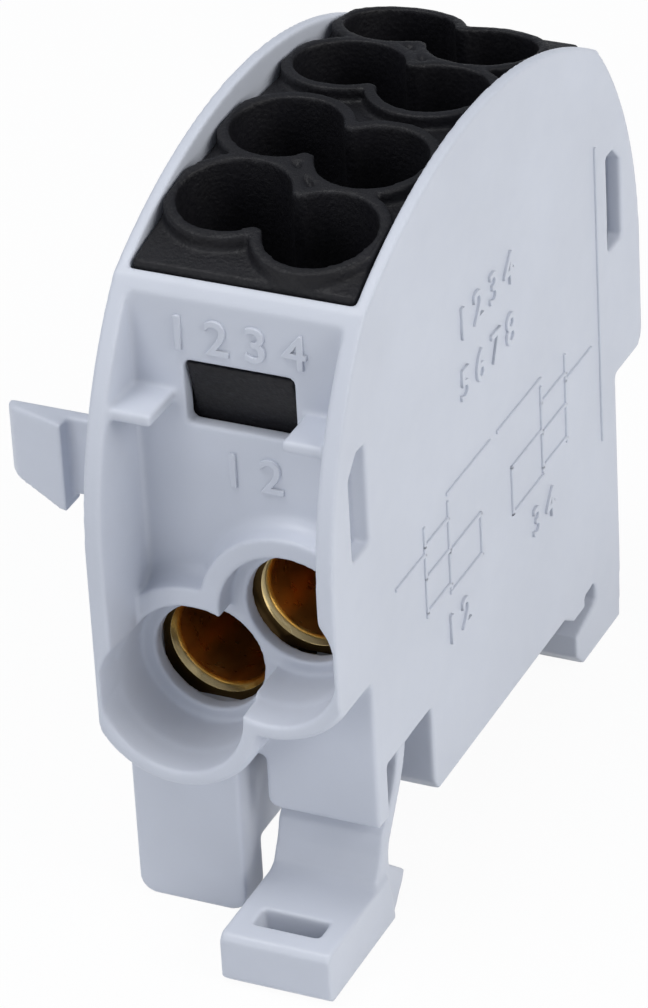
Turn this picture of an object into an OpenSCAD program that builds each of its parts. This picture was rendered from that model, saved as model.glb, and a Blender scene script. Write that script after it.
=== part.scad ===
// Single-pole power distribution block for a 35 mm rail.
// X runs along the rail, Y along the conductors, Z away from the rail.
// The origin lies in the housing's middle, in the plane that the rail's flanges touch.

/* [Rail] */
// Width of the mounting rail across its two flanges
rail_w = 35; // [34:0.25:36]
// Thickness of the rail's flanges
rail_t = 1; // [0.8:0.1:1.4]
// How far the housing's middle lies behind the rail's centre line
rail_shift = 1.3; // [0.8:0.1:1.8]

/* [Housing] */
// Width of the block along the rail
body_w = 18; // [17.6:0.2:20]
// Height of the crown above the rail
body_h = 48.1; // [47.2:0.1:50]
// Radius of the crown
crown_r = 40; // [36:1:60]
// How far the round front and rear edges of the side walls stand out past the funnels
wall_lead = 0.6; // [0.4:0.1:1.4]
// Height of the middle of those round edges
side_z = 24.5; // [22:0.5:26]
// Thickness of the side walls in front of the panels
wall_t = 1.3; // [1:0.1:1.6]
// Thickness of the side walls beside the terminal block
chamber_wall = 0.9; // [0.7:0.1:1.2]
// Thickness of the front and rear panels
panel_t = 1.2; // [1:0.1:1.6]
// Height of the chamber floor
floor_z = 10; // [9.6:0.1:10.2]
// Thickness of the chamber floor
floor_t = 1.9; // [1.5:0.1:2.4]
// How far the lower body stands out past the panels
base_lead = 1.2; // [0.9:0.1:1.5]
// Height of the lower body's underside above the rail
belly_z = 1; // [0.6:0.1:1.5]
// Thickness of the ribs under the floor
rib_t = 1.2; // [0.9:0.1:1.6]

/* [Windows and ledges] */
// Width of the latch windows in the panels
window_w = 8; // [6:0.5:9]
// Height of the latch windows
window_h = 4.7; // [4:0.1:5.5]
// Height of the windows' lower edge
window_z = 32.6; // [31.5:0.1:33.2]
// How far the ledges stand in from the side walls
ledge_w = 3; // [2:0.25:3.25]
// Length of the ledges away from the panels
ledge_l = 3.9; // [3:0.1:4.3]
// Height of the ledges' upper face
ledge_z = 35; // [34.5:0.1:35.6]
// Thickness of the ledges
ledge_t = 0.9; // [0.7:0.1:1.2]

/* [Coupling hooks] */
// Length of the coupling slots up the wall
slot_h = 7.5; // [6.5:0.25:8]
// Height of the slots' lower edge
slot_z = 26.2; // [25.5:0.1:26.8]
// Width of the slots
slot_w = 2.6; // [2.4:0.1:2.8]
// Distance from the panels to the near edge of a slot
slot_gap = 0.4; // [0.2:0.1:0.6]
// Length of a hook's neck
neck_l = 3; // [2.4:0.1:3.6]
// Thickness of a hook's neck
neck_t = 1.1; // [0.9:0.1:1.3]
// Length of a hook's barb
barb_l = 4.7; // [4:0.1:5.4]
// Thickness of a hook's barb at its step
barb_t = 2.3; // [2:0.1:2.4]

/* [Terminal block] */
// Diameter of the conductor bores
bore_d = 6.8; // [6:0.1:7]
// Distance between the bores along the rail
bore_pitch = 7.1; // [7.1:0.1:7.4]
// Height of the lower bore
bore_z = 14.4; // [14.4:0.1:14.8]
// How much higher the upper bore lies
bore_rise = 5.2; // [4.8:0.1:5.6]
// Length of the terminal block
block_l = 37.5; // [37:0.1:38.5]
// Gap between the ends of the terminal block and the panels
block_end = 0.75; // [0.3:0.05:0.9]
// Width of the countersink at each bore's mouth
mouth_w = 0.45; // [0.3:0.05:0.5]
// Depth of the countersink
mouth_depth = 0.7; // [0.4:0.1:1]
// Thickness of the brass under each bore
block_under = 1; // [0.8:0.1:1]
// Thickness of the brass above each bore, which is the length of its threads
block_over = 6; // [5.6:0.1:6.4]

/* [Funnels] */
// Radius of the funnels' straight stretch
funnel_r = 5.1; // [4.8:0.05:5.2]
// Width of the flare at the funnels' mouths
flare_w = 0.5; // [0.3:0.05:0.7]
// Length of the flare
flare_l = 2.3; // [1.8:0.1:2.8]
// Width of the rim around the flare
rim_w = 1; // [0.8:0.05:1.1]
// Length of the funnels in front of the panels
funnel_l = 5.8; // [5.4:0.1:6]
// How far the funnels' upper rims lie behind the lower ones
rim_back = 3.2; // [2:0.1:3.6]
// Height above the lower bore where the rims begin to slope back
rim_step = 1.8; // [1:0.1:2.4]
// Thickness of the side walls beside the funnels
funnel_skin = 0.35; // [0.3:0.05:0.6]
// Radius of the fillets between the funnels and the panels
cove_r = 1; // [0.6:0.1:1.2]

/* [Clamp screws] */
// Diameter of the clamp screws
screw_d = 6; // [5:0.1:6]
// Length of the clamp screws
screw_l = 10; // [9:0.5:12]
// Distance from the ends of the terminal block to the outer rows of screws
row_end = 5.15; // [5:0.05:5.4]
// Distance from the inner rows to the outer rows
row_pitch = 8.45; // [8.2:0.05:8.6]
// Offset along the conductors between the screws over the two bores
row_stagger = 2; // [1.6:0.1:2.4]
// Width of the screwdriver slots
drive_w = 1.1; // [0.8:0.1:1.4]
// Depth of the screwdriver slots
drive_depth = 2; // [1.5:0.1:2.4]

/* [Screw guide] */
// Inner radius of the guide tubes
tube_r = 3.85; // [3.7:0.05:3.9]
// Wall of the guide tubes
tube_wall = 0.85; // [0.7:0.05:1]
// Length of the gap that joins the two tubes of a row
throat_l = 3.9; // [2.5:0.1:4.2]
// Width of that gap
throat_w = 1; // [0.8:0.1:1.3]
// How far the tube rims at the crown lie below the side walls
guide_drop = 1.35; // [1.2:0.05:1.8]
// Radius of the guide's crown
guide_r = 78; // [70:1:90]
// Height of the rims above the guide's deck
rim_h = 1; // [0.7:0.1:1.3]
// Thickness of the guide's deck
deck_t = 1.3; // [1:0.1:1.8]
// Thickness of the guide's end walls
end_t = 1.2; // [1:0.1:1.5]
// Height of the end walls' lower edge
end_z = 31.4; // [30.6:0.1:31.8]

/* [Feet] */
// Height of the feet below the rail plane
foot_drop = 4.5; // [4.2:0.1:5]
// How far the front leg stands out past the lower body
leg_lead = 1.1; // [0.8:0.1:1.5]
// Gap between the front leg and the rail
leg_gap = 1.1; // [0.8:0.1:1.4]
// Distance from the block's middle to the facing edges of leg and latch
split_x = 0.9; // [0.8:0.05:1.1]
// Thickness of the skirt in front of the latch arm
skirt_t = 1.8; // [1.5:0.1:2]
// Height of the skirt's lower edge
skirt_z = 4; // [3.6:0.1:4.4]
// Thickness of the latch arm
arm_t = 1.25; // [1:0.05:1.4]
// How far the latch arm stops short of the block's side
arm_inset = 0.3; // [0.2:0.05:0.5]
// How far the latch foot stands out past the lower body
foot_lead = 9; // [8:0.1:10]
// Thickness of the latch foot
foot_t = 3.9; // [3.5:0.1:4.2]
// How far the hooks reach under the rail's flanges
hook_reach = 1.3; // [1:0.1:1.6]
// Length of the slot in the latch foot along the rail
pry_w = 4.9; // [4.2:0.1:5.5]
// Width of the slot in the latch foot
pry_d = 1.9; // [1.6:0.1:2.2]

/* [Hidden] */
$fn = 96;

// Overlap that keeps joined solids whole, and that carries cuts past a face
eps = 0.5;
// Side clearance of the terminal block and of the guide in the chamber
block_gap = 0.2;
guide_gap = 0.15;
// Radial clearance of a screw in its thread, and of a bore's mouth in the panel
thread_gap = 0.05;
mouth_gap = 0.2;
// Gap between the rail and the nearest point of the belly, and the arm's root
belly_gap = 6.2;
root_gap = 2.6;
// Small corner radii of the moulding
corner_r = 1.2;
window_r = 0.4;
// How far a screw's tip stays back from its bore when open
tip_back = 0.2;

half_w = body_w / 2;
bore_r = bore_d / 2;
bore_x = bore_pitch / 2;
half_l = block_l / 2;
chamber_y = half_l + block_end;
chamber_x = half_w - chamber_wall;
panel_y = chamber_y + panel_t;
base_y = panel_y + base_lead;
funnel_y = panel_y + funnel_l;
side_r = funnel_y + wall_lead;
slot_y = panel_y + slot_gap;
leg_y = base_y + leg_lead;
foot_y = base_y + foot_lead;
guide_h = body_h - guide_drop;
flare_r = funnel_r + flare_w;
cup_r = flare_r + rim_w;
hole_r = bore_r + mouth_w + mouth_gap;
block_x = chamber_x - block_gap;
guide_x = chamber_x - guide_gap;
guide_y = chamber_y - guide_gap;
row_outer = half_l - row_end;
row_inner = row_outer - row_pitch;
rows = [-row_outer, -row_inner, row_inner, row_outer];

// The two bores: side, height of the axis
bores = [[-1, bore_z], [1, bore_z + bore_rise]];

// Edges of the rail, seen from the middle of the housing
rail_front = -rail_w / 2 - rail_shift;
rail_rear = rail_w / 2 - rail_shift;
belly_y = rail_front + belly_gap;
leg_d = leg_y + rail_front - leg_gap;

// Extrudes a side outline, drawn as (Y, Z), from x0 to x1
module across(x0, x1) {
    translate([x0, 0, 0]) rotate([90, 0, 90])
        linear_extrude(x1 - x0) children();
}

// A box from its lowest to its highest corner
module block(low, high) {
    translate(low) cube(high - low);
}

// A cylinder along the conductors, from y0 to y1
module rod_y(x, z, y0, y1, r0, r1) {
    translate([x, y0, z]) rotate([-90, 0, 0])
        cylinder(h = y1 - y0, r1 = r0, r2 = r1);
}

// Both ends of the housing: children are drawn at the rear and mirrored to the front
module both_ends() {
    for (end = [0, 1]) mirror([0, end, 0]) children();
}

// ---------- Housing ----------

// Outline of a side wall whose overhanging ends stop at foot_z
module wall_outline(foot_z) {
    intersection() {
        union() {
            intersection() {
                translate([0, side_z]) circle(side_r, $fn = 180);
                translate([-side_r, side_z - eps]) square([2 * side_r, 2 * side_r]);
            }
            translate([-side_r, foot_z + corner_r])
                square([2 * side_r, side_z - foot_z - corner_r]);
            translate([corner_r - side_r, foot_z])
                square([2 * (side_r - corner_r), side_z - foot_z]);
            for (end = [-1, 1])
                translate([end * (side_r - corner_r), foot_z + corner_r])
                    circle(corner_r, $fn = 32);
        }
        translate([0, body_h - crown_r]) circle(crown_r, $fn = 180);
    }
}

// Height at which a funnel's round outside meets the side of the block
function cup_foot(z) = z - sqrt(max(0, cup_r * cup_r - pow(half_w - bore_x, 2)));

// Side walls with their round ends
module side_walls() {
    for (b = bores) {
        x0 = b[0] < 0 ? -half_w : half_w - wall_t;
        across(x0, x0 + wall_t) wall_outline(cup_foot(b[1]));
    }
}

// The box between the panels, under the crown
module upper_body() {
    across(-half_w, half_w)
        intersection() {
            wall_outline(bore_z);
            translate([-panel_y, bore_z]) square([2 * panel_y, body_h]);
        }
}

// The box below the funnels, down to the ribbed underside
module lower_body() {
    for (b = bores)
        block([b[0] < 0 ? -half_w : 0, -base_y, floor_z - floor_t],
              [b[0] < 0 ? 0 : half_w, base_y, b[1]]);
}

// Round outside of the two funnels at one end, their upper rims set back
module cups() {
    low_z = bore_z + rim_step;
    intersection() {
        union() for (b = bores)
            rod_y(b[0] * bore_x, b[1], chamber_y, funnel_y, cup_r, cup_r);
        across(-half_w, half_w)
            polygon([[chamber_y, 0], [funnel_y, 0], [funnel_y, low_z],
                     [funnel_y - rim_back, low_z + rim_back],
                     [funnel_y - rim_back, body_h], [chamber_y, body_h]]);
    }
    intersection() {
        union() for (b = bores) cove(b);
        block([-half_w, 0, bore_z], [half_w, side_r, body_h]);
    }
}

// Fillet between the outside of one funnel and the panel
module cove(b) {
    translate([b[0] * bore_x, panel_y, b[1]]) rotate([-90, 0, 0])
        rotate_extrude() translate([cup_r - eps, 0]) difference() {
            translate([0, -eps]) square(cove_r + eps);
            translate([cove_r + eps, cove_r]) circle(cove_r, $fn = 48);
        }
}

// Open inside of the two funnels at one end, with the holes through the panel
module funnel_space() {
    open_x = half_w - funnel_skin;
    for (b = bores)
        rod_y(b[0] * bore_x, b[1], chamber_y - eps, funnel_y, hole_r, hole_r);
    intersection() {
        union() for (b = bores) {
            x = b[0] * bore_x;
            rod_y(x, b[1], panel_y, funnel_y + eps, funnel_r, funnel_r);
            rod_y(x, b[1], funnel_y - flare_l, funnel_y, funnel_r, flare_r);
            rod_y(x, b[1], funnel_y - eps / 10, side_r + eps, flare_r, flare_r);
        }
        block([-open_x, panel_y, 0], [open_x, side_r + 2 * eps, body_h]);
    }
}

// Latch window through one panel, with round corners
module window() {
    translate([0, panel_y + eps, window_z + window_h / 2]) rotate([90, 0, 0])
        linear_extrude(panel_t + 2 * eps) {
            square([window_w - 2 * window_r, window_h], center = true);
            square([window_w, window_h - 2 * window_r], center = true);
            for (sx = [-1, 1]) for (sz = [-1, 1])
                translate([sx * (window_w / 2 - window_r), sz * (window_h / 2 - window_r)])
                    circle(window_r, $fn = 24);
        }
}

// Small ledges above the coupling slots at one end
module ledges() {
    for (side = [-1, 1])
        block([side < 0 ? -half_w + wall_t / 2 : half_w - wall_t - ledge_w,
               panel_y - eps, ledge_z - ledge_t],
              [side < 0 ? -half_w + wall_t + ledge_w : half_w - wall_t / 2,
               panel_y + ledge_l, ledge_z]);
}

// Coupling slot through the right wall at one end, its outer top corner cut away
module coupling_slot() {
    across(half_w - wall_t - eps, half_w + eps)
        polygon([[slot_y, slot_z], [slot_y + slot_w, slot_z],
                 [slot_y + slot_w, slot_z + slot_h - slot_w / 2],
                 [slot_y + slot_w / 2, slot_z + slot_h], [slot_y, slot_z + slot_h]]);
}

// Hook on the left wall at one end: a thin neck and a barb that tapers to its tip
module coupling_hook() {
    step_x = -half_w - neck_l;
    tip_x = step_x - barb_l;
    low_z = slot_z + 0.3;
    high_z = slot_z + slot_h - slot_w / 2;
    back_y = slot_y + 0.2;
    block([step_x, back_y, low_z], [-half_w + wall_t / 2, back_y + neck_t, high_z]);
    difference() {
        translate([0, 0, low_z - 0.8]) linear_extrude(high_z - low_z + 0.8)
            polygon([[step_x, back_y], [step_x, back_y + barb_t],
                     [tip_x + 0.6, back_y + neck_t], [tip_x, back_y + neck_t / 2],
                     [tip_x, back_y]]);
        // The lower edge of the barb rises towards the tip
        rotate([90, 0, 0]) translate([0, 0, -back_y - barb_t - eps])
            linear_extrude(barb_t + 2 * eps)
                polygon([[step_x - 0.6, low_z - 0.8], [tip_x - eps, low_z + 0.8],
                         [tip_x - eps, low_z - 1.2], [step_x - 0.6, low_z - 1.2]]);
    }
}

// Middle of the underside with the rear hook that the rail turns in under
module rear_foot() {
    seat_y = rail_rear - 3.4;
    catch_y = rail_rear + 0.8;
    nose_y = rail_rear - rail_t - 2 * hook_reach + 0.5;
    across(-half_w, half_w)
        polygon([[belly_y, floor_z], [belly_y, belly_z + 1], [belly_y + 0.7, belly_z],
                 [seat_y - 1.6, belly_z], [seat_y, 0], [seat_y + 2.1, 0],
                 [seat_y + 2.1, belly_z - 0.2], [catch_y - 0.4, belly_z], [catch_y, belly_z - 0.4],
                 [catch_y, 0.4 - rail_t], [catch_y - 0.6, 0.2 - rail_t],
                 [nose_y, -rail_t - 0.6], [nose_y, -rail_t - 2.3],
                 [nose_y + 1.2, -foot_drop], [base_y - 0.4, -foot_drop],
                 [base_y, belly_z], [base_y, floor_z]]);
}

// Fixed leg at the front of the left half, and the seat for the front flange
module front_leg() {
    x1 = -split_x;
    back_y = leg_d - leg_y;
    difference() {
        union() {
            translate([0, back_y, 0]) rotate([90, 0, 0])
                linear_extrude(leg_d)
                    difference() {
                        translate([-half_w, -foot_drop])
                            square([half_w + x1, foot_drop + bore_z]);
                        for (side = [0, 1])
                            translate([side ? x1 : -half_w, -foot_drop])
                                mirror([side, 0]) corner_cut(corner_r);
                    }
            block([-half_w, back_y - eps, 0], [x1, rail_front + 4, floor_z]);
            block([-half_w, rail_front + 4 - eps, belly_z], [x1, belly_y + eps, floor_z]);
        }
        block([-half_w + wall_t, back_y - leg_d + 1.8, -foot_drop - eps],
              [x1 - wall_t, back_y + eps, -0.6]);
    }
}

// A square corner less its round, to take off a corner at the origin
module corner_cut(r) {
    difference() {
        translate([-eps, -eps]) square(r + eps);
        translate([r, r]) circle(r, $fn = 32);
    }
}

// Skirt that hangs in front of the latch arm
module skirt() {
    translate([0, skirt_t - base_y, 0]) rotate([90, 0, 0])
        linear_extrude(skirt_t)
            difference() {
                translate([split_x - 0.2, skirt_z])
                    square([half_w - split_x + 0.2, floor_z - skirt_z]);
                translate([split_x - 0.2, skirt_z]) corner_cut(0.8);
            }
}

// Latch arm, barb and foot: one springy limb of the housing
module latch() {
    root_y = rail_front + root_gap;
    knee_y = rail_front + 1.3;
    back_y = rail_front - 1;
    tip_y = rail_front + hook_reach;
    top_z = foot_t - foot_drop;
    difference() {
        union() {
            across(split_x, half_w - arm_inset)
                polygon([[root_y + 0.3, floor_z], [root_y, floor_z - floor_t],
                         [root_y - 0.5, 6.4], [knee_y + 0.1, 5],
                         [back_y, 1.4], [back_y - 0.15, -0.1],
                         [tip_y, -rail_t - 1.1], [tip_y - 0.4, -rail_t - 1.8],
                         [tip_y - 1.8, 0.2 - foot_drop], [tip_y - 2.4, -foot_drop],
                         [-base_y - 3, -foot_drop], [-base_y - 3, top_z],
                         [-base_y - 0.9, top_z], [-base_y - 0.2, top_z + 0.3],
                         [back_y - arm_t - 0.2, 1.3], [back_y + 0.2 - arm_t, 2.6],
                         [knee_y - 0.1 - arm_t, 4.9], [root_y - 0.7 - arm_t, 6.2],
                         [root_y - arm_t - 0.2, floor_z - floor_t],
                         [root_y - arm_t - 0.2, floor_z]]);
            // The foot is a little wider than the arm
            across(split_x, half_w)
                polygon([[-foot_y, -foot_drop + 0.5], [-foot_y + 0.5, -foot_drop],
                         [tip_y - 2.4, -foot_drop], [back_y - 0.6, -rail_t - 1],
                         [back_y - 1, top_z], [0.4 - foot_y, top_z], [-foot_y, top_z - 0.4]]);
        }
        pry_slot();
    }
}

// Slot through the latch foot for a screwdriver's blade
module pry_slot() {
    mid_x = (split_x + half_w) / 2;
    block([mid_x - pry_w / 2, 2 - foot_y, -foot_drop - eps],
          [mid_x + pry_w / 2, 2 - foot_y + pry_d, foot_t]);
}

// Pockets that keep the underside at an even wall thickness
module underside_pockets() {
    pitch = 6;
    for (side = [0, 1]) mirror([side, 0, 0]) {
        for (i = [0:3])
            block([rib_t / 2, belly_y + wall_t + i * pitch, -eps],
                  [half_w - wall_t, belly_y + wall_t + (i + 1) * pitch - rib_t,
                   floor_z - floor_t]);
        block([rib_t / 2, rail_rear + 0.8 + rib_t, -foot_drop - eps],
              [half_w - wall_t, base_y - wall_t, floor_z - floor_t]);
    }
}

// Ribs that carry the raised half of the terminal block
module block_ribs() {
    for (y = [-row_outer, 0, row_outer])
        block([rib_t, y - rib_t / 2, floor_z - eps],
              [chamber_x + eps / 2, y + rib_t / 2, bore_z + bore_rise - bore_r - block_under]);
}

module housing() {
    color([0.77, 0.78, 0.82]) difference() {
        union() {
            difference() {
                union() {
                    side_walls();
                    upper_body();
                    lower_body();
                    rear_foot();
                    both_ends() cups();
                }
                block([-chamber_x, -chamber_y, floor_z], [chamber_x, chamber_y, body_h + eps]);
                both_ends() window();
                both_ends() coupling_slot();
                underside_pockets();
            }
            front_leg();
            skirt();
            latch();
            block_ribs();
            both_ends() ledges();
            both_ends() coupling_hook();
        }
        both_ends() funnel_space();
    }
}

// ---------- Terminal block ----------

// Cross-section of the brass, one step higher over the upper bore
module block_section() {
    low_z = bore_z - bore_r - block_under;
    top_z = bore_z + bore_r + block_over;
    polygon([[-block_x, low_z], [0, low_z], [0, low_z + bore_rise],
             [block_x, low_z + bore_rise], [block_x, top_z + bore_rise],
             [0, top_z + bore_rise], [0, top_z], [-block_x, top_z]]);
}

module terminal_block() {
    color([0.80, 0.62, 0.28]) difference() {
        translate([0, half_l, 0]) rotate([90, 0, 0])
            linear_extrude(block_l) block_section();
        for (b = bores) {
            x = b[0] * bore_x;
            rod_y(x, b[1], -half_l - eps, half_l + eps, bore_r, bore_r);
            both_ends()
                rod_y(x, b[1], half_l - mouth_depth, half_l + eps / 5, bore_r,
                      bore_r + mouth_w * (1 + eps / 5 / mouth_depth));
            for (row = rows)
                translate([x, row - b[0] * row_stagger / 2, b[1]])
                    cylinder(h = bore_r + block_over + eps, r = screw_d / 2 + thread_gap);
        }
    }
}

// ---------- Screw guide ----------

// The space under an arch across the block, its top at the given height
module under_arch(top_z) {
    across(-half_w, half_w)
        intersection() {
            translate([0, top_z - guide_r]) circle(guide_r, $fn = 360);
            translate([-guide_y, 0]) square([2 * guide_y, body_h]);
        }
}

// Upright cylinders over every screw of one bore
module tubes(b, r, z0, z1) {
    for (row = rows)
        translate([b[0] * bore_x, row - b[0] * row_stagger / 2, z0])
            cylinder(h = z1 - z0, r = r);
}

module screw_guide() {
    deck_z = guide_h - rim_h;
    step_z = bores[1][1] + bore_r + block_over;
    color([0.13, 0.13, 0.15]) difference() {
        union() {
            difference() {
                intersection() {
                    union() for (b = bores)
                        tubes(b, tube_r + tube_wall, b[1] + bore_r + block_over, body_h);
                    under_arch(guide_h);
                    block([-guide_x, -guide_y, 0], [guide_x, guide_y, body_h]);
                }
                // Room for the raised half of the terminal block
                block([-guide_gap, -chamber_y, floor_z], [half_w, chamber_y, step_z]);
            }
            difference() {
                intersection() {
                    under_arch(deck_z);
                    block([-guide_x, -guide_y, end_z], [guide_x, guide_y, body_h]);
                }
                under_arch_inside(deck_z - deck_t);
            }
            both_ends() guide_latch();
        }
        for (b = bores) tubes(b, tube_r, floor_z, body_h + eps);
        for (row = rows) translate([0, row, step_z])
            rotate([0, 0, -atan2(row_stagger, bore_pitch)])
                translate([-throat_w / 2, -throat_l / 2, 0])
                    cube([throat_w, throat_l, body_h]);
    }
}

// The open room under the guide's deck, between its end walls
module under_arch_inside(top_z) {
    intersection() {
        across(-half_w, half_w) translate([0, top_z - guide_r]) circle(guide_r, $fn = 360);
        block([-half_w, end_t - guide_y, 0], [half_w, guide_y - end_t, body_h]);
    }
}

// Wedge that snaps into the window of one panel
module guide_latch() {
    across(guide_gap - window_w / 2, window_w / 2 - guide_gap)
        polygon([[guide_y - eps, window_z + guide_gap], [guide_y, window_z + guide_gap],
                 [panel_y - 0.2, window_z + window_h - guide_gap - 0.4],
                 [panel_y - 0.2, window_z + window_h - guide_gap],
                 [guide_y - eps, window_z + window_h - guide_gap]]);
}

// ---------- Clamp screws ----------

// Slotted clamp screw number n, open: 1 to 4 over the lower bore, 5 to 8 over the upper
module clamp_screw(n) {
    b = bores[n <= 4 ? 0 : 1];
    row = rows[(n - 1) % 4];
    tip_z = b[1] + bore_r + tip_back;
    tip_h = 0.8;
    color([0.70, 0.71, 0.73])
        translate([b[0] * bore_x, row - b[0] * row_stagger / 2, tip_z])
            difference() {
                union() {
                    cylinder(h = tip_h, r1 = screw_d / 2 - tip_h, r2 = screw_d / 2);
                    translate([0, 0, tip_h])
                        cylinder(h = screw_l - tip_h, r = screw_d / 2);
                }
                translate([-screw_d, -drive_w / 2, screw_l - drive_depth])
                    cube([2 * screw_d, drive_w, drive_depth + eps]);
            }
}

housing();
screw_guide();
terminal_block();
clamp_screw(1);  // clamp_screw_1
clamp_screw(2);  // clamp_screw_2
clamp_screw(3);  // clamp_screw_3
clamp_screw(4);  // clamp_screw_4
clamp_screw(5);  // clamp_screw_5
clamp_screw(6);  // clamp_screw_6
clamp_screw(7);  // clamp_screw_7
clamp_screw(8);  // clamp_screw_8
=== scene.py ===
# %% [markdown]
# # Power distribution block
# This lesson dresses a slim rail-mounted distribution block. The exact solids come
# packed from the construction step, and everything here is placed from their sizes.
# Lengths are in metres, X runs along the rail, Y along the conductors and Z up.

import math

import bmesh
import bpy
from mathutils import Matrix, Vector


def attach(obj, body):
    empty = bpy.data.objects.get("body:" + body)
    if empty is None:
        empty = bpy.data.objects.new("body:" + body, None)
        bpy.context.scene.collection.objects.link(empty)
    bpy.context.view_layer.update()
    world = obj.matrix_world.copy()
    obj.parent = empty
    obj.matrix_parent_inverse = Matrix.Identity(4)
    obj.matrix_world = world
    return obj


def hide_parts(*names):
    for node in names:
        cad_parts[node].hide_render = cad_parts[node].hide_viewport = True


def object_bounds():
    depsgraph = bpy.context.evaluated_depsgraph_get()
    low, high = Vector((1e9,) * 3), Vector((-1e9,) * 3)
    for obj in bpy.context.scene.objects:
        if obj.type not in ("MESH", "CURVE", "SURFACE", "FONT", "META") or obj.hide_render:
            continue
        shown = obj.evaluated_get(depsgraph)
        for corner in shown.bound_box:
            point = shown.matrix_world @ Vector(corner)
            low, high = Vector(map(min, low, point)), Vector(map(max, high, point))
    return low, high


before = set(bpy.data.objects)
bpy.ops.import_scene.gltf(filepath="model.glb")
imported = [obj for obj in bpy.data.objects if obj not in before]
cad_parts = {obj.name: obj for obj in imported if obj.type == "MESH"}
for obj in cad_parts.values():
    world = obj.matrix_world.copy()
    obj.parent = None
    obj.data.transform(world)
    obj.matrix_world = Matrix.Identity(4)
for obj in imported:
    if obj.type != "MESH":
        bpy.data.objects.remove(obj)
cad_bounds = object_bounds()
MM = 0.001

# %% [markdown]
# ## Camera
# The block is looked at from its right front corner and from above, with a long
# lens. The lens is long because a small product is pictured from well away, so its
# parallel edges stay nearly parallel.

# %% Camera
AZIMUTH, ELEVATION, ROLL = 25.9013, 30.8908, -3.2812
camera_data = bpy.data.cameras.new("camera")
camera_data.sensor_width = 36.0
camera_data.lens = 5666.17 / 1008 * 36.0
camera_data.clip_start = 0.01
camera_data.clip_end = 20.0
camera = bpy.data.objects.new("camera", camera_data)
bpy.context.scene.collection.objects.link(camera)


def camera_axes(azimuth, elevation, roll):
    """Right, up and back directions of a camera that looks at the block."""
    a, e, r = (math.radians(v) for v in (azimuth, elevation, roll))
    right = Vector((math.cos(a), math.sin(a), 0.0))
    back = Vector((math.sin(a) * math.cos(e), -math.cos(a) * math.cos(e), math.sin(e)))
    up = back.cross(right)
    return (right * math.cos(r) + up * math.sin(r),
            up * math.cos(r) - right * math.sin(r), back)


right, up, back = camera_axes(AZIMUTH, ELEVATION, ROLL)
camera_place = Vector((144.875, -307.392, 218.964)) * MM
camera.matrix_world = Matrix.Translation(camera_place) @ Matrix(
    [[right[i], up[i], back[i]] for i in range(3)]).to_4x4()
bpy.context.scene.camera = camera
print("camera lens:", round(camera_data.lens, 2), "mm")

# %% [markdown]
# ## Finishes
# Every finish is a small network of nodes. A noise on Object coordinates stays where
# it is on the piece, whatever view is taken, so it is used for the slight mottle of
# moulded plastic and for the fine grain that breaks up its gloss.

# %% Helpers for materials


def new_material(name, colour, roughness, metallic=0.0, **sockets):
    """A material whose Principled shader has the given plain values."""
    material = bpy.data.materials.new(name)
    material.use_nodes = True
    shader = material.node_tree.nodes["Principled BSDF"]
    shader.inputs["Base Color"].default_value = (*colour, 1.0)
    shader.inputs["Roughness"].default_value = roughness
    shader.inputs["Metallic"].default_value = metallic
    for key, value in sockets.items():
        shader.inputs[key.replace("_", " ")].default_value = value
    return material, shader


def add_node(material, kind, **values):
    """A node with some of its properties or inputs set."""
    node = material.node_tree.nodes.new(kind)
    for key, value in values.items():
        if hasattr(node, key):
            setattr(node, key, value)
        else:
            node.inputs[key.replace("_", " ")].default_value = value
    return node


def wire(material, out_socket, in_socket):
    material.node_tree.links.new(out_socket, in_socket)


def object_noise(material, scale, detail=2.0, stretch=(1.0, 1.0, 1.0)):
    """Noise on Object coordinates, with the given cycles per metre."""
    place = add_node(material, "ShaderNodeTexCoord")
    mapping = add_node(material, "ShaderNodeMapping")
    mapping.inputs["Scale"].default_value = stretch
    noise = add_node(material, "ShaderNodeTexNoise", Scale=scale, Detail=detail)
    wire(material, place.outputs["Object"], mapping.inputs["Vector"])
    wire(material, mapping.outputs["Vector"], noise.inputs["Vector"])
    return noise


def spread(material, value, low, high, socket):
    """Leads a noise, spread from low to high, to a socket."""
    span = add_node(material, "ShaderNodeMapRange")
    span.inputs["From Min"].default_value = 0.3
    span.inputs["From Max"].default_value = 0.7
    span.inputs["To Min"].default_value = low
    span.inputs["To Max"].default_value = high
    wire(material, value, span.inputs["Value"])
    wire(material, span.outputs["Result"], socket)


def tint(material, value, dark, light, socket):
    """Leads a noise to a colour socket, from a dark to a light colour."""
    ramp = add_node(material, "ShaderNodeValToRGB")
    ramp.color_ramp.elements[0].position = 0.3
    ramp.color_ramp.elements[0].color = (*dark, 1.0)
    ramp.color_ramp.elements[1].position = 0.7
    ramp.color_ramp.elements[1].color = (*light, 1.0)
    wire(material, value, ramp.inputs["Fac"])
    wire(material, ramp.outputs["Color"], socket)


def grain(material, shader, noise, strength, depth, soften=0.0):
    """A fine bump on the shader, over edges softened by the given radius."""
    bump = add_node(material, "ShaderNodeBump", Strength=strength, Distance=depth)
    wire(material, noise.outputs["Fac"], bump.inputs["Height"])
    if soften:
        edge = add_node(material, "ShaderNodeBevel", samples=6, Radius=soften)
        wire(material, edge.outputs["Normal"], bump.inputs["Normal"])
    wire(material, bump.outputs["Normal"], shader.inputs["Normal"])


def scaled(colour, factor):
    return tuple(c * factor for c in colour)


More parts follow.
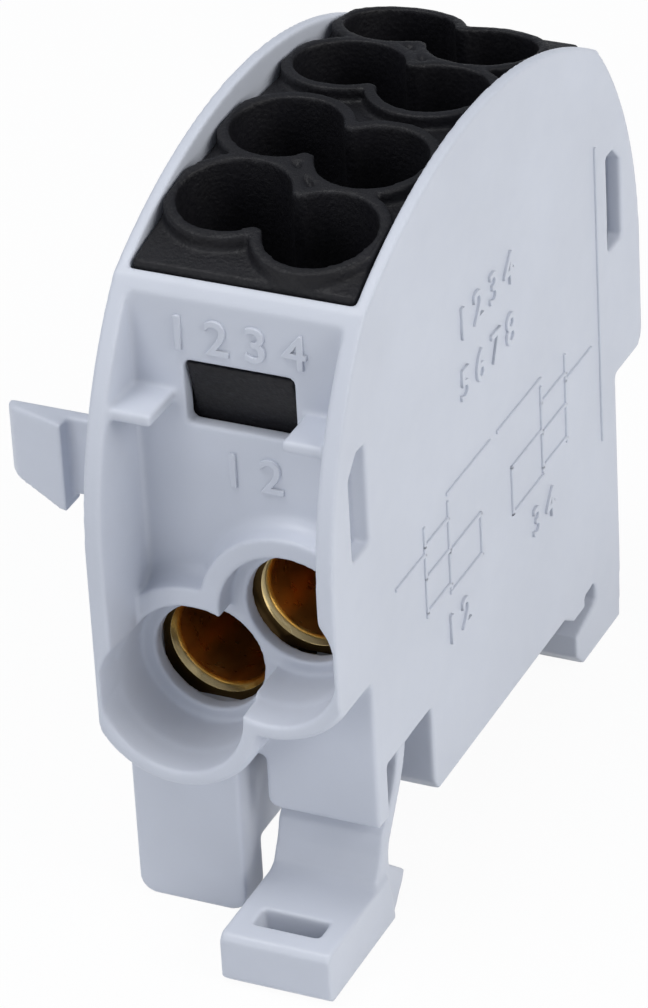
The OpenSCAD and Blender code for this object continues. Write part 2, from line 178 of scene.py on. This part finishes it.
# %% Light grey moulded plastic
GREY = (0.585, 0.615, 0.690)
grey_plastic, grey_shader = new_material(
    "light_grey_moulding", GREY, 0.42, Specular_IOR_Level=0.45,
    Subsurface_Weight=0.0)
grey_mottle = object_noise(grey_plastic, 90.0, 3.0)
tint(grey_plastic, grey_mottle.outputs["Fac"], scaled(GREY, 0.97), scaled(GREY, 1.03),
     grey_shader.inputs["Base Color"])
grey_sheen = object_noise(grey_plastic, 700.0, 4.0)
spread(grey_plastic, grey_sheen.outputs["Fac"], 0.38, 0.48, grey_shader.inputs["Roughness"])
grey_grain = object_noise(grey_plastic, 5200.0, 2.0)
grain(grey_plastic, grey_shader, grey_grain, 0.12, 0.00004)
print("finish:", grey_plastic.name)

# %% Dark moulded plastic of the screw guide
DARK = (0.0058, 0.0056, 0.0078)
dark_plastic, dark_shader = new_material(
    "dark_moulding", DARK, 0.5, Specular_IOR_Level=0.3)
dark_mottle = object_noise(dark_plastic, 260.0, 4.0)
tint(dark_plastic, dark_mottle.outputs["Fac"], scaled(DARK, 0.8), scaled(DARK, 1.3),
     dark_shader.inputs["Base Color"])
dark_sheen = object_noise(dark_plastic, 2600.0, 3.0)
spread(dark_plastic, dark_sheen.outputs["Fac"], 0.45, 0.62, dark_shader.inputs["Roughness"])
dark_grain = object_noise(dark_plastic, 3600.0, 5.0)
grain(dark_plastic, dark_shader, dark_grain, 0.6, 0.00012)
print("finish:", dark_plastic.name)

# %% Brass
# The countersunk rings at their mouths are turned bright. The bores are dull from the drill,
# and their colour is darkened as painted shade inside them.


def brass_finish(name, colour, rough_low, rough_high, marks, soften):
    material, shader = new_material(name, colour, rough_low, metallic=1.0)
    tone = object_noise(material, 380.0, 3.0, stretch=(1.0, 0.25, 1.0))
    tint(material, tone.outputs["Fac"], scaled(colour, 0.86), scaled(colour, 1.08),
         shader.inputs["Base Color"])
    lines = object_noise(material, 900.0, 2.0, stretch=(1.0, 2.0, 1.0))
    spread(material, lines.outputs["Fac"], rough_low, rough_high, shader.inputs["Roughness"])
    grain(material, shader, lines, marks, 0.00002, soften)
    print("finish:", material.name)
    return material


# The bore colour is the brass darkened to paint the shade inside the bores.
shaded_bore_brass = brass_finish("shaded_bore_brass", (0.68, 0.39, 0.13), 0.26, 0.36, 0.03, 0.0)
# Nearly black brass for the flat end faces: painted shade for the shadowed gap around each ring.
shaded_end_brass = brass_finish("shaded_end_brass", (0.09, 0.055, 0.02), 0.5, 0.6, 0.1, 0.0)
turned_brass = brass_finish("turned_brass", (0.92, 0.70, 0.33), 0.16, 0.26, 0.12, 0.00005)

# %% Zinc-plated steel
STEEL = (0.60, 0.60, 0.59)
steel, steel_shader = new_material("plated_steel", STEEL, 0.35, metallic=1.0)
steel_tone = object_noise(steel, 900.0, 3.0)
tint(steel, steel_tone.outputs["Fac"], scaled(STEEL, 0.85), scaled(STEEL, 1.1),
     steel_shader.inputs["Base Color"])
steel_marks = object_noise(steel, 3000.0, 2.0, stretch=(1.0, 1.0, 0.2))
spread(steel, steel_marks.outputs["Fac"], 0.28, 0.45, steel_shader.inputs["Roughness"])
grain(steel, steel_shader, steel_marks, 0.15, 0.00003, soften=0.0001)
print("finish:", steel.name)

# %% [markdown]
# ## Moulded edges
# No edge of a moulding is sharp: the steel of the mould leaves a small round on each
# one. A bevel of every edge would fail where many small faces meet, so a merged copy
# of the solid is rebuilt from small cubes, smoothed over a few of their widths, and
# thinned again. Flat faces stay flat and all the edges turn soft alike.

# %% Helpers for moulded copies


def link(name, mesh):
    """A new object at the origin that holds a mesh."""
    piece = bpy.data.objects.new(name, mesh)
    bpy.context.scene.collection.objects.link(piece)
    return piece


def from_form(name, form):
    """Turns a bmesh into an object and frees it."""
    mesh = bpy.data.meshes.new(name)
    form.to_mesh(mesh)
    form.free()
    return link(name, mesh)


def settle(piece):
    """Applies the modifiers of a piece to its mesh."""
    graph = bpy.context.evaluated_depsgraph_get()
    mesh = bpy.data.meshes.new_from_object(piece.evaluated_get(graph))
    piece.modifiers.clear()
    piece.data = mesh
    return piece


def combine(piece, operation, tool):
    """Cuts a piece with a tool, or joins or clips it, and drops the tool."""
    change = piece.modifiers.new(operation.lower(), "BOOLEAN")
    change.operation = operation
    change.solver = "EXACT"
    change.object = tool
    settle(piece)
    bpy.data.objects.remove(tool)
    return piece


def box(name, low, high):
    """A box from its lowest to its highest corner, in millimetres."""
    form = bmesh.new()
    bmesh.ops.create_cube(form, size=1.0)
    low, high = Vector(low) * MM, Vector(high) * MM
    bmesh.ops.scale(form, vec=high - low, verts=form.verts)
    bmesh.ops.translate(form, vec=(low + high) / 2, verts=form.verts)
    return from_form(name, form)


def merged_copy(node, name):
    """A copy of a solid whose loose triangles are joined at their corners."""
    form = bmesh.new()
    form.from_mesh(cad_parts[node].data)
    bmesh.ops.remove_doubles(form, verts=form.verts, dist=0.002 * MM)
    return from_form(name, form)


def join_form(piece, extra):
    """Adds a closed form to a piece, for the cubes to fuse."""
    form = bmesh.new()
    form.from_mesh(piece.data)
    form.from_mesh(extra.data)
    form.to_mesh(piece.data)
    form.free()
    bpy.data.objects.remove(extra)


def soften(piece, cube, passes, triangles):
    """Rounds every edge of a piece over a few widths of the given cube."""
    remesh = piece.modifiers.new("cubes", "REMESH")
    remesh.mode = "VOXEL"
    remesh.voxel_size = cube * MM
    smooth = piece.modifiers.new("smooth", "SMOOTH")
    smooth.factor = 0.5
    smooth.iterations = passes
    settle(piece)
    count = sum(len(face.vertices) - 2 for face in piece.data.polygons)
    thin = piece.modifiers.new("thin", "DECIMATE")
    thin.ratio = min(1.0, triangles / count)
    settle(piece)
    for face in piece.data.polygons:
        face.use_smooth = True
    print(piece.name, count, "triangles before thinning,", len(piece.data.polygons), "after")


def finish_piece(piece, material, node=None, body="block"):
    """Gives a piece its finish, its body and the solid it stands for."""
    piece.data.materials.clear()
    piece.data.materials.append(material)
    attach(piece, body)
    if node:
        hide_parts(node)


# %% Housing with its funnels
# The lower halves of the two funnels reach almost as far as the side walls, and their
# roofs end sooner, so a wire is led in from below. The mouths get that form here.
LOWER_BORE, UPPER_BORE = (-3.55, 14.4), (3.55, 19.6)
WALL_INSIDE, ROOF_START = 7.7, 16.2
ROOF_END, SCOOP_END = 22.8, 27.0


def round_bar(x, z, y0, y1, r0, r1):
    """A bar or cone along the conductors, in millimetres."""
    form = bmesh.new()
    bmesh.ops.create_cone(form, cap_ends=True, segments=128, radius1=r0 * MM,
                          radius2=r1 * MM, depth=(y1 - y0) * MM)
    bmesh.ops.rotate(form, verts=form.verts, cent=(0, 0, 0),
                     matrix=Matrix.Rotation(math.radians(-90), 3, "X"))
    bmesh.ops.translate(form, verts=form.verts,
                        vec=Vector((x, (y0 + y1) / 2, z)) * MM)
    return from_form("bar", form)


def mirrored(piece):
    """Swaps the front and the rear of a piece."""
    form = bmesh.new()
    form.from_mesh(piece.data)
    bmesh.ops.scale(form, vec=(1, -1, 1), verts=form.verts)
    bmesh.ops.reverse_faces(form, faces=form.faces)
    form.to_mesh(piece.data)
    form.free()
    return piece


def scoop_rims():
    """The last stretch of the two funnels at the rear, open inside."""
    rims = round_bar(*LOWER_BORE, 23.6, SCOOP_END, 6.4, 6.35)
    combine(rims, "UNION", round_bar(*UPPER_BORE, 23.6, SCOOP_END, 6.4, 6.35))
    for bore in (LOWER_BORE, UPPER_BORE):
        combine(rims, "DIFFERENCE", round_bar(*bore, 23.0, SCOOP_END + 0.6, 5.12, 5.34))
    keep = box("keep", (-8.98, 23.0, 0.0), (8.98, 28.0, 26.0))
    combine(keep, "DIFFERENCE",
            box("gap", (-WALL_INSIDE, 22.0, ROOF_START), (WALL_INSIDE, 29.0, 27.0)))
    return combine(rims, "INTERSECT", keep)


housing = merged_copy("housing", "housing_moulding")
for side in (1, -1):
    roof_cut = box("cut", (-WALL_INSIDE + 0.01, ROOF_END, ROOF_START),
                   (WALL_INSIDE - 0.01, 28.0, 28.0))
    combine(housing, "DIFFERENCE", roof_cut if side > 0 else mirrored(roof_cut))
    rims = scoop_rims()
    join_form(housing, rims if side > 0 else mirrored(rims))
soften(housing, 0.16, 9, 180000)
finish_piece(housing, grey_plastic, "housing")

# %% Screw guide
# Between the two front rows and the two rear rows the tubes almost touch, and the
# narrow pits there are filled to just under the rims.
guide = merged_copy("screw_guide", "screw_guide_moulding")
GUIDE_TOP, GUIDE_RADIUS, PIT_Y = 46.75, 78.0, 9.375
TUBE_R, BORE_X, STAGGER = 3.85, 3.55, 1.0
ROWS = (5.15, 13.6)


for side in (1, -1):
    tilt = math.asin(PIT_Y / GUIDE_RADIUS)
    top = GUIDE_TOP - GUIDE_RADIUS * (1 - math.cos(tilt)) - 0.35
    plug = box("plug", (-1.3, -1.6, -3.0), (1.3, 1.6, 0.0))
    plug.data.transform(Matrix.Translation(Vector((0, side * PIT_Y, top)) * MM)
                        @ Matrix.Rotation(-side * tilt, 4, "X"))
    for row in ROWS:
        for bore_side in (1, -1):
            form = bmesh.new()
            bmesh.ops.create_cone(form, cap_ends=True, segments=96, depth=20 * MM,
                                  radius1=(TUBE_R + 0.1) * MM, radius2=(TUBE_R + 0.1) * MM)
            place = (bore_side * BORE_X, side * row - bore_side * STAGGER, 43.0)
            bmesh.ops.translate(form, vec=Vector(place) * MM, verts=form.verts)
            combine(plug, "DIFFERENCE", from_form("tube_room", form))
    join_form(guide, plug)
soften(guide, 0.16, 7, 150000)
finish_piece(guide, dark_plastic, "screw_guide")

# %% Give the metal its finishes


def dress(name, material):
    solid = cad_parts[name]
    solid.data.materials.clear()
    solid.data.materials.append(material)


# The countersunk rings are bright, the bores are dull and darkened as painted shade,
# and the flat ends are painted dark as the shade in the gap around each ring.
brass_body = merged_copy("terminal_block", "brass_body")
finish_piece(brass_body, shaded_bore_brass, "terminal_block")
brass_body.data.materials.append(turned_brass)
brass_body.data.materials.append(shaded_end_brass)
# Faces along Y get the painted shade of the ends, slanted faces the bright ring, the rest the
# painted shade of the bores.
for face in brass_body.data.polygons:
    lean = abs(face.normal.y)
    face.material_index = 2 if lean > 0.95 else 1 if lean > 0.25 else 0
    face.use_smooth = True
brass_body.data.set_sharp_from_angle(angle=math.radians(30))
SCREWS = ["clamp_screw_%d" % number for number in range(1, 9)]
for screw in SCREWS:
    dress(screw, steel)
print("dressed", 1 + len(SCREWS), "metal solids")

# %% [markdown]
# ## Raised lines and digits
# The side carries two small gauges that show how far a wire is stripped, drawn in
# thin raised lines. The panels and the side carry plain digits that number the
# clamps. They stand a hair above the face, as cut into the steel of the mould.

# %% Gauge lines on the side
LINE_W, LINE_H = 0.32, 0.16
HALF_W = 9.0


def raised_lines(name, runs):
    """Thin bars on the right side, each from (y, z) to (y, z)."""
    form = bmesh.new()
    for y0, z0, y1, z1 in runs:
        bar = bmesh.ops.create_cube(form, size=1.0)["verts"]
        size = Vector((2 * LINE_H, abs(y1 - y0) + LINE_W, abs(z1 - z0) + LINE_W))
        bmesh.ops.scale(form, vec=size * MM, verts=bar)
        place = Vector((HALF_W - 0.01, (y0 + y1) / 2, (z0 + z1) / 2))
        bmesh.ops.translate(form, vec=place * MM, verts=bar)
    bmesh.ops.bevel(form, geom=form.edges[:], offset=0.1 * MM, segments=2, profile=0.5,
                    affect="EDGES", material=-1)
    return from_form(name, form)


def gauge(bar_a, bar_b, box_y, low, high, end_y):
    """One gauge: two upright bars, a box between them and a lead-in line."""
    return [(bar_a, 15.5, bar_a, 22.4), (bar_b, 15.5, bar_b, 22.2),
            (bar_b, high, box_y, high), (bar_b, low, box_y, low),
            (box_y, low, box_y, high), (bar_a, 21.0, bar_b, 21.0),
            (bar_a, 18.5, bar_b, 18.5), (bar_a, 15.8, bar_b, 15.8),
            (bar_a, 20.4, end_y, 20.4)]


lines = raised_lines("strip_gauge_lines",
                     gauge(-12.6, -8.6, -3.2, 15.1, 18.3, -17.4)
                     + gauge(12.35, 7.9, 2.4, 15.1, 18.8, 17.2)
                     + [(-8.6, 22.9, -1.2, 22.9), (0.2, 22.9, 7.9, 22.9),
                        (18.9, 12.0, 18.9, 35.5)])
finish_piece(lines, grey_plastic)

# %% Digits
GLYPH_H = 0.16


def digits(name, text, size, turn, place):
    """Raised digits whose baseline starts at a place, in millimetres."""
    curve = bpy.data.curves.new(name, "FONT")
    curve.body = text
    curve.size = size * MM
    curve.extrude = GLYPH_H * MM
    curve.bevel_depth = 0.05 * MM
    curve.bevel_resolution = 1
    curve.align_x = "CENTER"
    letters = link(name + "_outline", curve)
    graph = bpy.context.evaluated_depsgraph_get()
    mesh = bpy.data.meshes.new_from_object(letters.evaluated_get(graph))
    bpy.data.objects.remove(letters)
    mesh.transform(Matrix.Translation(Vector(place) * MM) @ turn)
    piece = link(name, mesh)
    finish_piece(piece, grey_plastic)
    return piece


PANEL_TURN = Matrix.Rotation(math.radians(90), 4, "X")
REAR_TURN = Matrix.Rotation(math.radians(180), 4, "Z") @ PANEL_TURN
SIDE_TURN = Matrix.Rotation(math.radians(90), 4, "Z") @ PANEL_TURN
PANEL_Y = 20.7
digits("front_digits_top", "1 2 3 4", 3.6, PANEL_TURN, (0.0, -PANEL_Y, 38.2))
digits("front_digits_low", "1 2", 3.6, PANEL_TURN, (0.6, -PANEL_Y, 28.4))
digits("rear_digits_top", "4 3 2 1", 3.6, REAR_TURN, (0.0, PANEL_Y, 38.2))
digits("rear_digits_low", "2 1", 3.6, REAR_TURN, (-0.6, PANEL_Y, 28.4))
digits("side_digits_a", "1 2", 3.2, SIDE_TURN, (HALF_W, -7.6, 11.2))
digits("side_digits_b", "3 4", 3.2, SIDE_TURN, (HALF_W, 7.6, 11.2))
digits("side_digits_c", "1 2 3 4", 3.4, SIDE_TURN, (HALF_W, -1.0, 33.0))
digits("side_digits_d", "5 6 7 8", 3.4, SIDE_TURN, (HALF_W, -1.0, 28.4))
print("digits placed")

# %% [markdown]
# ## Floor and light
# The floor and the world are white where the camera or a glossy surface sees them,
# and a plain grey for the light that they throw on the block.

# %% Floor
floor_z = cad_bounds[0].z


def white_when_seen(tree):
    """Gives a node that is 1 for camera rays and glossy rays, and 0 for the rest."""
    path = tree.nodes.new("ShaderNodeLightPath")
    seen = tree.nodes.new("ShaderNodeMath")
    seen.operation = "MAXIMUM"
    tree.links.new(path.outputs["Is Camera Ray"], seen.inputs[0])
    tree.links.new(path.outputs["Is Glossy Ray"], seen.inputs[1])
    return seen


floor_mesh = bpy.data.meshes.new("floor")
floor_form = bmesh.new()
bmesh.ops.create_grid(floor_form, x_segments=1, y_segments=1, size=1.5)
bmesh.ops.translate(floor_form, verts=floor_form.verts, vec=(0.0, 0.0, floor_z))
floor_form.to_mesh(floor_mesh)
floor_form.free()
floor = bpy.data.objects.new("floor", floor_mesh)
bpy.context.scene.collection.objects.link(floor)
floor_finish, floor_shader = new_material("pale_floor", (0.80, 0.81, 0.83), 0.9)
floor_tree = floor_finish.node_tree
glow = floor_tree.nodes.new("ShaderNodeEmission")
glow.inputs["Color"].default_value = (1.0, 1.0, 1.0, 1.0)
blend = floor_tree.nodes.new("ShaderNodeMixShader")
seen = white_when_seen(floor_tree)
keep_shadow = floor_tree.nodes.new("ShaderNodeMath")
keep_shadow.operation = "MULTIPLY"
keep_shadow.inputs[1].default_value = 0.95
floor_tree.links.new(seen.outputs[0], keep_shadow.inputs[0])
floor_tree.links.new(keep_shadow.outputs[0], blend.inputs["Fac"])
floor_tree.links.new(floor_shader.outputs["BSDF"], blend.inputs[1])
floor_tree.links.new(glow.outputs["Emission"], blend.inputs[2])
floor_tree.links.new(blend.outputs["Shader"], floor_tree.nodes["Material Output"].inputs["Surface"])
floor.data.materials.append(floor_finish)
print("floor at", round(floor_z / MM, 2), "mm")

# %% World and lamps
world = bpy.data.worlds.new("studio")
bpy.context.scene.world = world
world.use_nodes = True
world_tree = world.node_tree
plain_sky = world_tree.nodes["Background"]
plain_sky.inputs["Color"].default_value = (0.84, 0.90, 1.0, 1.0)
plain_sky.inputs["Strength"].default_value = 0.29
white_sky = world_tree.nodes.new("ShaderNodeBackground")
white_sky.inputs["Color"].default_value = (1.0, 1.0, 1.0, 1.0)
white_sky.inputs["Strength"].default_value = 1.0
sky_mix = world_tree.nodes.new("ShaderNodeMixShader")
sky_path = world_tree.nodes.new("ShaderNodeLightPath")
world_tree.links.new(sky_path.outputs["Is Camera Ray"], sky_mix.inputs["Fac"])
world_tree.links.new(plain_sky.outputs["Background"], sky_mix.inputs[1])
world_tree.links.new(white_sky.outputs["Background"], sky_mix.inputs[2])
world_tree.links.new(sky_mix.outputs["Shader"], world_tree.nodes["World Output"].inputs["Surface"])


def soft_lamp(name, place, aim, size, watts, colour=(1.0, 1.0, 1.0)):
    """A square soft lamp at a place in metres, aimed at a point."""
    data = bpy.data.lights.new(name, "AREA")
    data.size = size
    data.energy = watts
    data.color = colour
    lamp = bpy.data.objects.new(name, data)
    bpy.context.scene.collection.objects.link(lamp)
    direction = Vector(aim) - Vector(place)
    lamp.matrix_world = Matrix.Translation(Vector(place)) @ direction.to_track_quat(
        "-Z", "Y").to_matrix().to_4x4()
    return lamp


AIM = (0.0, 0.0, 0.022)
soft_lamp("top_lamp", (-0.15, -0.10, 0.55), AIM, 0.35, 1.65)
soft_lamp("side_lamp", (0.50, -0.06, 0.30), AIM, 0.40, 1.85, (1.0, 0.985, 0.95))
soft_lamp("front_lamp", (-0.20, -0.50, 0.18), AIM, 0.30, 0.5)
bpy.context.scene.view_settings.view_transform = "Standard"
